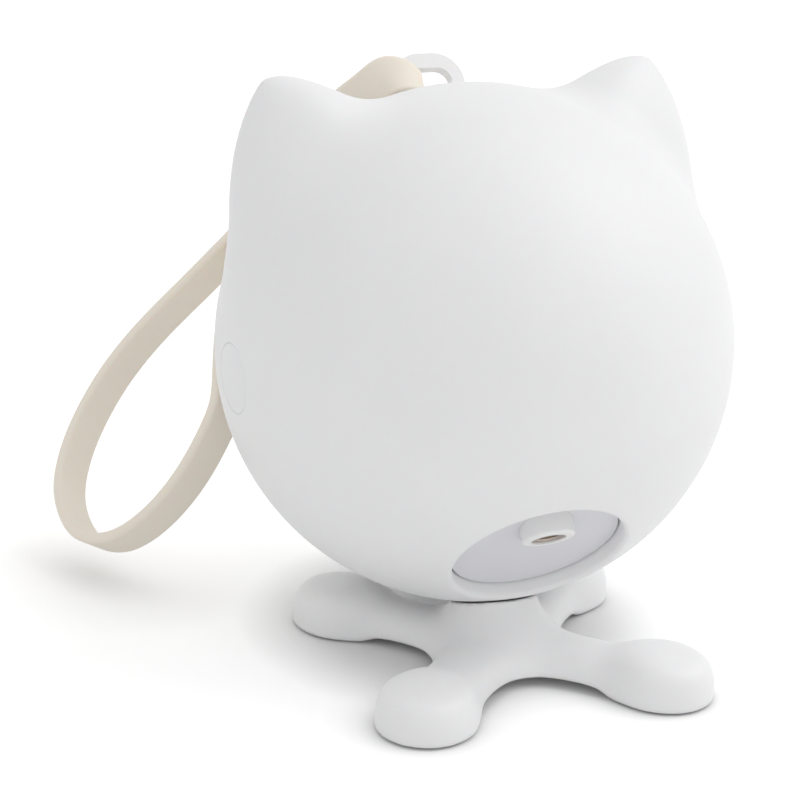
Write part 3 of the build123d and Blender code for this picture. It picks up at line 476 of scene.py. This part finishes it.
def skin_of(field, low, high, step):
    """Quads where a field passes nought: one point per cell, in the middle of its edges' crossings."""
    spans = [np.arange(start, end + step, step) for start, end in zip(low, high)]
    grid = np.stack(np.meshgrid(*spans, indexing="ij"), axis=-1)
    value = field(grid)
    cells = np.array(value.shape) - 1
    total, count = np.zeros((*cells, 3)), np.zeros(cells)
    one_on = np.eye(3, dtype=int)
    quads = []
    for axis in range(3):
        inside = np.moveaxis(value < 0, axis, 0)
        edge = np.argwhere(np.moveaxis(inside[:-1] != inside[1:], 0, axis))
        here, there = tuple(edge.T), tuple((edge + one_on[axis]).T)
        share = value[here] / (value[here] - value[there])
        crossing = grid[here] + share[:, None] * step * one_on[axis]
        first, second = one_on[(axis + 1) % 3], one_on[(axis + 2) % 3]
        ring = [edge - first - second, edge - second, edge, edge - first]
        for cell in ring:
            np.add.at(total, tuple(cell.T), crossing)
            np.add.at(count, tuple(cell.T), 1)
        numbers = np.stack([np.ravel_multi_index(tuple(cell.T), cells) for cell in ring], axis=1)
        quads.append(np.where((value[here] < 0)[:, None], numbers, numbers[:, ::-1]))
    used = np.flatnonzero(count.ravel())
    points = total.reshape(-1, 3)[used] / count.ravel()[used, None]
    new_number = np.full(count.size, -1)
    new_number[used] = np.arange(len(used))
    return points, new_number[np.concatenate(quads)]


def slope_of(field, points, step=0.02):
    """Slope of a field at each point, from differences along the three axes."""
    return np.stack(
        [(field(points + step * axis) - field(points - step * axis)) / (2 * step) for axis in np.eye(3)],
        axis=1,
    )


def settle(field, points, rounds=4, longest=0.4, flattest=0.05):
    """Points moved onto the field's nought: each step is value * slope / slope^2, kept short."""
    for _ in range(rounds):
        slope = slope_of(field, points)
        steepness = np.maximum(np.sum(slope**2, axis=1, keepdims=True), flattest)
        move = field(points)[:, None] * slope / steepness
        size = np.linalg.norm(move, axis=1, keepdims=True)
        points = points - move * np.minimum(1, longest / np.maximum(size, 1e-9))
    return points


grid_low, grid_high, grid_step = (-35, -35, -1), (35, 35, 20), 0.6
points, quads = skin_of(stand_field, grid_low, grid_high, grid_step)
points = settle(stand_field, points)
print("stand skin", len(quads), "quads", points.min(0).round(2), points.max(0).round(2))

# %% Stand piece
stand_mesh = bpy.data.meshes.new("stand_skin")
stand_mesh.from_pydata((points * MM).tolist(), [], quads.tolist())
stand_mesh.validate()
stand_mesh.update()
stand_mesh.materials.append(stand_white)
stand_mesh.polygons.foreach_set("use_smooth", [True] * len(stand_mesh.polygons))
stand = bpy.data.objects.new("stand_skin", stand_mesh)
scene.collection.objects.link(stand)
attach(stand, "stand")
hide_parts("stand")
print("stand skin has", len(stand_mesh.vertices), "points")

# %% [markdown]
# ## Pockets in the stand
# A rubber pad is glued into each foot, and the magnet turns in a bore that comes up the neck. Both
# are crisp machined shapes in the mould, so they are cut with a Boolean, whose result then takes
# the place of the mesh. Edges sharper than the soft forms have are marked sharp.

# %% Rods that cut
rod_sides = 64


def rod_rings(start, direction, radius, length):
    """Two rings of points square to a direction: start + radius * (cos * one side + sin * other)."""
    direction = direction / np.linalg.norm(direction)
    one = np.cross(direction, [1.0, 0.0, 0.0] if abs(direction[0]) < 0.9 else [0.0, 1.0, 0.0])
    one /= np.linalg.norm(one)
    turn = np.linspace(0, 2 * np.pi, rod_sides, endpoint=False)[:, None]
    ring = radius * (np.cos(turn) * one + np.sin(turn) * np.cross(direction, one))
    return np.concatenate([start + ring, start + direction * length + ring])


def rod_faces(first):
    """Side quads and two round ends of one rod whose points start at a number."""
    place = np.arange(rod_sides)
    beside = (place + 1) % rod_sides
    sides = np.stack([place, beside, beside + rod_sides, place + rod_sides], axis=1) + first
    return sides.tolist() + [(place[::-1] + first).tolist(), (place + rod_sides + first).tolist()]


pad_spot = leg_reach / 2**0.5
pad_pocket_radius, pad_pocket_low, pad_pocket_length = 5.7, -2.0, 3.0
bore_mouth = np.array([0.0, 0.0, 8.4])
bore_radius, bore_start, bore_length = 5.65, 52.0, 24.0
bore_line = (bore_mouth - head_middle) / np.linalg.norm(bore_mouth - head_middle)
upward = np.array([0.0, 0.0, 1.0])
pad_starts = [np.array([x * pad_spot, y * pad_spot, pad_pocket_low]) for x in (-1, 1) for y in (-1, 1)]
rods = [rod_rings(start, upward, pad_pocket_radius, pad_pocket_length) for start in pad_starts]
rods.append(rod_rings(head_middle + bore_line * bore_start, bore_line, bore_radius, bore_length))
print("rods", len(rods), "bore leans", round(float(np.degrees(np.arcsin(-bore_line[1]))), 1), "degrees")

# %% Pockets for the pads and the magnet
sharp_in_stand = np.radians(40)
cutter_mesh = bpy.data.meshes.new("pocket_cutter")
rod_quads = sum((rod_faces(2 * rod_sides * number) for number in range(len(rods))), [])
cutter_mesh.from_pydata((np.concatenate(rods) * MM).tolist(), [], rod_quads)
cutter = bpy.data.objects.new("pocket_cutter", cutter_mesh)
scene.collection.objects.link(cutter)
cut = stand.modifiers.new("pockets", "BOOLEAN")
cut.operation = "DIFFERENCE"
cut.solver = "EXACT"
cut.object = cutter
cut_mesh = bpy.data.meshes.new_from_object(stand.evaluated_get(bpy.context.evaluated_depsgraph_get()))
stand.modifiers.clear()
stand.data = cut_mesh
bpy.data.objects.remove(cutter)
cut_mesh.set_sharp_from_angle(angle=sharp_in_stand)
print("stand skin with pockets", len(cut_mesh.polygons), "faces")

# %% [markdown]
# ## The head's skin
# Both half shells keep their true walls, lips and bosses, and only their outer skin round the ears
# is made softer. An ear is a field too: its width tapers off along a leaning axis, the flank
# towards the crown is longer than the outer one, and a soft minimum lets it grow out of the ball.
# Points of the skin slide along their own line from the middle of the head until the field is
# nought there.

# %% Ear field
ear_lean, ear_back, ear_roll = np.radians([37.0, 11.1, -0.97])
ear_width, ear_flatness, ear_tip, ear_start = 23.0, 0.648, 65.56, 34.66
ear_round, ear_taper, ear_steepness, ear_blend = 1.5, 1.364, 0.6, 5.0
ear_side_swell, ear_back_swell, swell_reach = 0.287, -0.078, 6.0


def swelled(distance, swell):
    """Distance / (1 + swell * tanh(distance / reach)): one side of the middle goes further out."""
    return distance / (1 + swell * np.tanh(distance / swell_reach))


def head_field(p):
    """Ball joined softly with two mirrored ears; p is measured from the middle of the head.

    An ear is ((sideways reach / width)^n + taper^m)^(1/n) - 1, in which the taper runs from 0 at
    its start on the leaning axis to 1 at its tip.
    """
    c, s = np.cos(ear_roll), np.sin(ear_roll)
    side = np.abs(p[..., 0] * c - p[..., 2] * s)
    p = np.stack([side, p[..., 1], p[..., 0] * s + p[..., 2] * c], axis=-1)
    rise = np.cos(ear_lean)
    axis = np.array([np.sin(ear_lean), rise * np.sin(ear_back), rise * np.cos(ear_back)])
    outward = np.array([1.0, 0.0, 0.0]) - axis[0] * axis
    outward /= np.linalg.norm(outward)
    backward = np.cross(axis, outward)
    taper = np.maximum(p @ axis - ear_start, 0) / (ear_tip - ear_start)
    wide = swelled(p @ outward, ear_side_swell)
    deep = swelled(p @ backward, ear_back_swell) / ear_flatness
    ear = ((np.hypot(wide, deep) / ear_width) ** ear_round + taper**ear_taper) ** (1 / ear_round) - 1
    return soft_min(np.linalg.norm(p, axis=-1) - head_radius, ear * ear_width * ear_steepness, ear_blend)


print("field at the crown", round(float(head_field(np.array([0.0, 0.0, head_radius]))), 3))

# %% One mesh without doubles
same_place = 2e-7


def merged_mesh(source):
    """Same triangles, with the points that lie on each other made one."""
    places = np.empty(len(source.vertices) * 3)
    source.vertices.foreach_get("co", places)
    corners = np.empty(len(source.loops), dtype=int)
    source.loops.foreach_get("vertex_index", corners)
    keys = np.round(places.reshape(-1, 3) / same_place).astype(np.int64)
    _, first, back_to = np.unique(keys, axis=0, return_index=True, return_inverse=True)
    triangles = back_to.reshape(-1)[corners].reshape(-1, 3)
    whole = (triangles[:, 0] != triangles[:, 1]) & (triangles[:, 1] != triangles[:, 2])
    whole &= triangles[:, 2] != triangles[:, 0]
    return places.reshape(-1, 3)[first], triangles[whole]


for name in ("front_shell", "rear_shell"):
    print(name, len(nodes[name].data.vertices), "points,", len(merged_mesh(nodes[name].data)[0]), "merged")

# %% Softer ears
ear_region_side, ear_region_low, ear_region_depth = 9.0, 8.0, 3.0
skin_tolerance, facing_out, thinnest_wall = 0.2, 0.1, 1.4
seam_set_back, seam_tolerance = 12.75, 0.3
slide_rounds, slide_probe, slide_longest, slide_flattest = 16, 0.02, 1.0, 0.3


def slid_to(line, reach, goal):
    """Reach along each line at which the field is the goal, by Newton's steps of value / slope."""
    for _ in range(slide_rounds):
        value = head_field(line * reach[:, None]) - goal
        ahead = head_field(line * (reach[:, None] + slide_probe)) - goal
        slope = (ahead - value) / slide_probe
        reach = reach - np.clip(value / np.maximum(slope, slide_flattest), -slide_longest, slide_longest)
    return reach


def soften_ears(p, normals, is_rear):
    """Points round the ears slid along their line from the head's middle.

    Outer points go to the field's nought.  Inner points that would come nearer than the thinnest
    wall go down to that depth.  The rear shell's lip, in front of the seam, stays as it is.
    """
    radius = np.linalg.norm(p, axis=1)
    line = p / radius[:, None]
    around = (np.abs(p[:, 0]) > ear_region_side) & (p[:, 2] > ear_region_low)
    around &= radius > head_radius - ear_region_depth
    if is_rear:
        around &= p[:, 1] > seam_set_back - seam_tolerance
    outer = np.sum(normals * line, axis=1) > facing_out
    on_skin = outer & (radius > head_radius - skin_tolerance)
    too_near = ~outer & (head_field(p) > -thinnest_wall)
    moving = around & (on_skin | too_near)
    goal = np.where(outer[moving], 0.0, -thinnest_wall)
    result = p.copy()
    result[moving] = line[moving] * slid_to(line[moving], radius[moving], goal)[:, None]
    return result, moving


print("wall under an ear stays at least", thinnest_wall, "mm")

# %% Skins of the two shells
sharp_in_shell = np.radians(32)
for name in ("front_shell", "rear_shell"):
    places, triangles = merged_mesh(nodes[name].data)
    skin = bpy.data.meshes.new(name.replace("shell", "skin"))
    skin.from_pydata(places.tolist(), [], triangles.tolist())
    skin.validate()
    skin.update()
    normals = np.empty(len(skin.vertices) * 3)
    skin.vertices.foreach_get("normal", normals)
    p = places / MM - head_middle
    softened, moving = soften_ears(p, normals.reshape(-1, 3), name == "rear_shell")
    skin.vertices.foreach_set("co", ((softened + head_middle) * MM).ravel())
    skin.polygons.foreach_set("use_smooth", [True] * len(skin.polygons))
    skin.set_sharp_from_angle(angle=sharp_in_shell)
    skin.update()
    skin.materials.append(head_white)
    piece = bpy.data.objects.new(skin.name, skin)
    scene.collection.objects.link(piece)
    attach(piece, "head")
    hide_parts(name)
    furthest = np.linalg.norm(softened - p, axis=1).max()
    print(skin.name, len(triangles), "triangles,", int(moving.sum()), "moved up to", furthest.round(2))

# %% [markdown]
# ## The strap
# The strap is one closed band of silicone, 8 mm wide and 2.4 mm thick, looped round the left leg of
# the bail. It is a path with a section carried along it: the path says where the band goes, a
# direction says which way its width points, and a share says how far the soft band is squeezed
# narrow and thick where it turns round the bail. Places are measured from the head's middle.

# %% Route of the strap
strap_stations = [
    # place, way the width points, share of the full width
    ((-2.5, 29.6, 43.9), (-0.00, -0.59, -0.81), 0.57),
    ((-2.9, 28.4, 44.9), (-0.03, -0.60, -0.80), 0.59),
    ((-3.8, 27.5, 45.7), (-0.12, -0.65, -0.75), 0.63),
    ((-5.0, 27.0, 46.4), (-0.25, -0.62, -0.74), 0.73),
    ((-6.5, 27.0, 46.9), (-0.30, -0.54, -0.79), 0.86),
    ((-8.1, 27.4, 47.1), (-0.10, -0.50, -0.86), 0.97),
    ((-9.5, 27.9, 46.8), (0.19, -0.50, -0.84), 1.00),
    ((-10.6, 28.5, 45.9), (0.42, -0.52, -0.74), 1.00),
    ((-11.6, 29.5, 44.5), (0.51, -0.49, -0.70), 1.00),
    ((-13.2, 31.7, 42.3), (0.52, -0.32, -0.79), 1.00),
    ((-17.0, 36.2, 37.5), (0.67, -0.27, -0.69), 1.00),
    ((-21.6, 39.6, 31.3), (0.78, -0.07, -0.62), 1.00),
    ((-26.4, 41.4, 24.5), (0.86, 0.15, -0.49), 1.00),
    ((-30.2, 42.3, 17.1), (0.88, 0.30, -0.38), 1.00),
    ((-33.4, 41.9, 9.2), (0.84, 0.39, -0.37), 1.00),
    ((-36.0, 40.1, 1.4), (0.82, 0.43, -0.37), 1.00),
    ((-37.9, 37.6, -6.5), (0.83, 0.46, -0.32), 1.00),
    ((-39.1, 34.7, -12.8), (0.80, 0.40, -0.45), 1.00),
    ((-40.3, 30.7, -17.1), (0.78, 0.28, -0.55), 1.00),
    ((-41.4, 28.6, -19.9), (0.79, 0.30, -0.53), 1.00),
    ((-43.2, 27.5, -23.3), (0.81, 0.32, -0.50), 1.00),
    ((-47.2, 26.5, -30.3), (0.80, 0.32, -0.51), 1.00),
    ((-51.9, 26.9, -37.3), (0.80, 0.32, -0.51), 1.00),
    ((-56.9, 29.4, -43.7), (0.80, 0.32, -0.51), 1.00),
    ((-61.2, 33.2, -48.1), (0.80, 0.32, -0.51), 1.00),
    ((-63.9, 37.2, -49.9), (0.80, 0.32, -0.51), 1.00),
    ((-66.2, 41.8, -50.7), (0.80, 0.32, -0.51), 1.00),
    ((-67.6, 46.5, -49.9), (0.80, 0.32, -0.51), 1.00),
    ((-68.1, 52.7, -46.8), (0.80, 0.32, -0.51), 1.00),
    ((-67.2, 56.8, -42.9), (0.80, 0.32, -0.51), 1.00),
    ((-64.6, 60.0, -36.8), (0.80, 0.32, -0.51), 1.00),
    ((-60.6, 61.6, -29.5), (0.80, 0.32, -0.51), 1.00),
    ((-56.1, 61.7, -22.3), (0.80, 0.32, -0.51), 1.00),
    ((-51.3, 60.4, -15.5), (0.80, 0.32, -0.51), 1.00),
    ((-46.2, 58.2, -9.0), (0.79, 0.32, -0.52), 1.00),
    ((-41.2, 55.4, -2.9), (0.82, 0.30, -0.48), 1.00),
    ((-36.4, 52.6, 3.3), (0.77, 0.33, -0.54), 1.00),
    ((-31.6, 51.8, 8.2), (0.68, 0.32, -0.65), 1.00),
    ((-28.2, 51.1, 12.3), (0.84, 0.26, -0.48), 1.00),
    ((-24.5, 49.0, 18.8), (0.88, 0.12, -0.46), 1.00),
    ((-20.5, 46.3, 25.8), (0.85, -0.09, -0.51), 1.00),
    ((-17.2, 43.4, 31.8), (0.73, -0.30, -0.61), 1.00),
    ((-14.4, 40.2, 36.2), (0.52, -0.46, -0.72), 1.00),
    ((-12.1, 36.6, 40.1), (0.32, -0.57, -0.75), 0.99),
    ((-10.9, 35.1, 41.6), (0.20, -0.54, -0.82), 0.97),
    ((-9.7, 34.2, 42.4), (0.03, -0.48, -0.87), 0.95),
    ((-8.3, 33.6, 42.6), (-0.16, -0.49, -0.85), 0.91),
    ((-6.7, 33.1, 42.4), (-0.23, -0.51, -0.83), 0.82),
    ((-5.1, 32.6, 42.3), (-0.22, -0.49, -0.84), 0.72),
    ((-3.7, 31.9, 42.4), (-0.08, -0.50, -0.86), 0.63),
    ((-2.8, 30.8, 43.1), (0.01, -0.57, -0.82), 0.59),
]
strap_route = np.array([(*place, *width, share) for place, width, share in strap_stations])
print("stations", len(strap_route))

# %% A smooth closed line past the stations


def smooth_rows(rows, between):
    """Closed uniform cubic B-spline: each point is a weighted mean of four neighbouring rows.

    With t from 0 to 1 between two rows the weights are (1-t)^3/6, (3t^3-6t^2+4)/6,
    (-3t^3+3t^2+3t+1)/6 and t^3/6.  The rows follow each other in a ring.
    """
    t = np.linspace(0, 1, between, endpoint=False)[None, :, None]
    weights = ((1 - t) ** 3, 3 * t**3 - 6 * t**2 + 4, -3 * t**3 + 3 * t**2 + 3 * t + 1, t**3)
    ring = sum(w * np.roll(rows, 1 - k, axis=0)[:, None, :] for k, w in enumerate(weights)) / 6
    return ring.reshape(-1, rows.shape[1])


points_between = 8
line = smooth_rows(strap_route, points_between)
steps = np.linalg.norm(line[:, :3] - np.roll(line[:, :3], 1, axis=0), axis=1)
print("strap length", round(float(steps.sum())), "mm in", len(line), "steps")

# %% The strap's section
strap_width, strap_thickness, strap_edge = 8.0, 2.4, 0.85


def rounded_section(width, thickness, edge, corner_points=8, flat_steps=6):
    """Rounded rectangle: each corner is its centre + edge * (cos, sin) over a quarter turn.

    The two wide flats get points of their own, so that quads stay narrow where the band twists.
    """
    quarter = np.linspace(0, np.pi / 2, corner_points)
    centre = np.array([width / 2 - edge, thickness / 2 - edge])
    signs = np.array([[1, 1], [-1, 1], [-1, -1], [1, -1]])
    arcs = []
    for number, sign in enumerate(signs):
        turn = quarter + number * np.pi / 2
        arcs.append(sign * centre + edge * np.stack([np.cos(turn), np.sin(turn)], axis=1))
    share = np.linspace(0, 1, flat_steps, endpoint=False)[1:, None]
    top = arcs[0][-1] + (arcs[1][0] - arcs[0][-1]) * share
    bottom = arcs[2][-1] + (arcs[3][0] - arcs[2][-1]) * share
    return np.concatenate([arcs[0], top, arcs[1], arcs[2], bottom, arcs[3]])


section = rounded_section(strap_width, strap_thickness, strap_edge)
print("section", len(section), "points")

# %% Band surface
strap_bulge = 0.4


def unit(vectors):
    """Each row divided by its own length."""
    return vectors / np.linalg.norm(vectors, axis=-1, keepdims=True)


def band_rings(line, section):
    """Section carried along a line: centre + x times the width direction + y times the face normal.

    A share q of the width leaves q times x, and y divided by q to the power of the bulge.
    """
    places, widths, share = line[:, :3], line[:, 3:6], line[:, 6:, None]
    forward = unit(np.roll(places, -1, axis=0) - np.roll(places, 1, axis=0))
    across = unit(widths - forward * np.sum(widths * forward, axis=1, keepdims=True))
    outward = np.cross(forward, across)
    return (
        places[:, None, :]
        + across[:, None, :] * section[None, :, :1] * share
        + outward[:, None, :] * section[None, :, 1:] / share**strap_bulge
    )


def ring_mesh(name, rings):
    """Closed mesh of rings of points, joined ring to ring, the last one to the first."""
    count, around = rings.shape[:2]
    step = np.arange(count)[:, None] * around
    ahead_step = (np.arange(count)[:, None] + 1) % count * around
    place = np.arange(around)[None, :]
    beside = (place + 1) % around
    quads = [step + place, step + beside, ahead_step + beside, ahead_step + place]
    mesh = bpy.data.meshes.new(name)
    mesh.from_pydata(rings.reshape(-1, 3).tolist(), [], np.stack(quads, axis=-1).reshape(-1, 4).tolist())
    mesh.validate()
    mesh.update()
    return mesh


rings = band_rings(line, section) + head_middle
print("rings", len(rings), "of", rings.shape[1], "points")

# %% Strap piece
strap = bpy.data.objects.new("silicone_strap", ring_mesh("silicone_strap", rings * MM))
scene.collection.objects.link(strap)
strap.data.materials.append(silicone)
strap.data.polygons.foreach_set("use_smooth", [True] * len(strap.data.polygons))
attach(strap, "head")
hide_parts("strap")
print("strap", len(strap.data.polygons), "quads")

# %% [markdown]
# ## Finishes for the CAD pieces
# The hard pieces already have their true shape. Each gets the finish its real counterpart
# would have, hidden ones too, so that the model also looks right when it is taken apart.

# %% Dress the pieces
dress = {
    head_white: ["front_shell", "rear_shell"],
    stand_white: ["stand", "magnet_cap"],
    button_white: ["power_button"],
    nozzle_white: ["laser_nozzle"],
    turntable_grey: ["turntable"],
    black_plastic: ["bearing_ring", "gear_plate", "tact_switch", "switch_plunger", "board_chips"],
    acetal: ["ring_gear", "idler_gear"],
    board_green: ["main_board", "switch_board"],
    cell_sleeve: ["battery_cell"],
    pad_rubber: ["foot_pads"],
    steel: [
        "keeper",
        "shell_screws",
        "board_screws",
        "mechanism_screws",
        "idler_pin",
        "motor_shaft",
        "spin_motor",
        "charging_socket",
    ],
    plated: ["cup_magnet", "cell_contacts"],
    brass: ["laser_module", "motor_pinion"],
    lens_red: ["laser_lens"],
    silicone: ["strap"],
}
for material, names in dress.items():
    for name in names:
        mesh = nodes[name].data
        mesh.materials.clear()
        mesh.materials.append(material)
print("dressed", sum(len(names) for names in dress.values()), "of", len(nodes))
